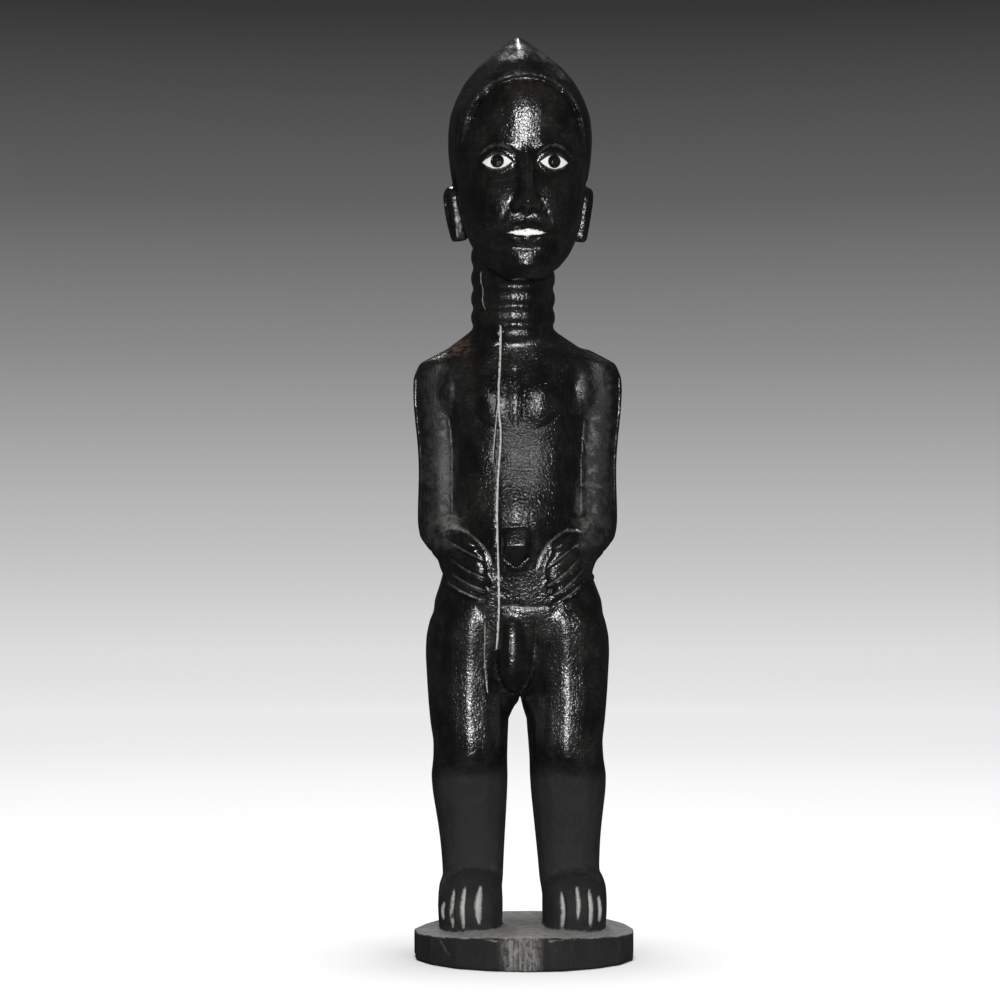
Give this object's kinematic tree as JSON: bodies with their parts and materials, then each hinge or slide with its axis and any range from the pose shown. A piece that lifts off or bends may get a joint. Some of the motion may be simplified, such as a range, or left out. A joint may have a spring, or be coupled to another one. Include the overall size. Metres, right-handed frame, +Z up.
{
  "type": "spirit spouse figure",
  "caption": "Standing man carved with his round stand from one block of dark wood, hands on his belly, with a ringed neck and a ridged head of hair; stands by its own weight.",
  "frame": {"origin": "centre of the bounding box on the flat underside of the stand", "axes": "+Z up; he looks along -Y; +X is to the right of someone who faces him"},
  "size_m": [0.1106, 0.108, 0.4595],
  "materials": {
    "blackened_wood": "blackened hardwood with an old rubbed and oiled polish, dust in its hollows, and a little white paint on eyes and mouth"
  },
  "bodies": {
    "root": {"figure": "blackened_wood"}
  },
  "joints": []
}
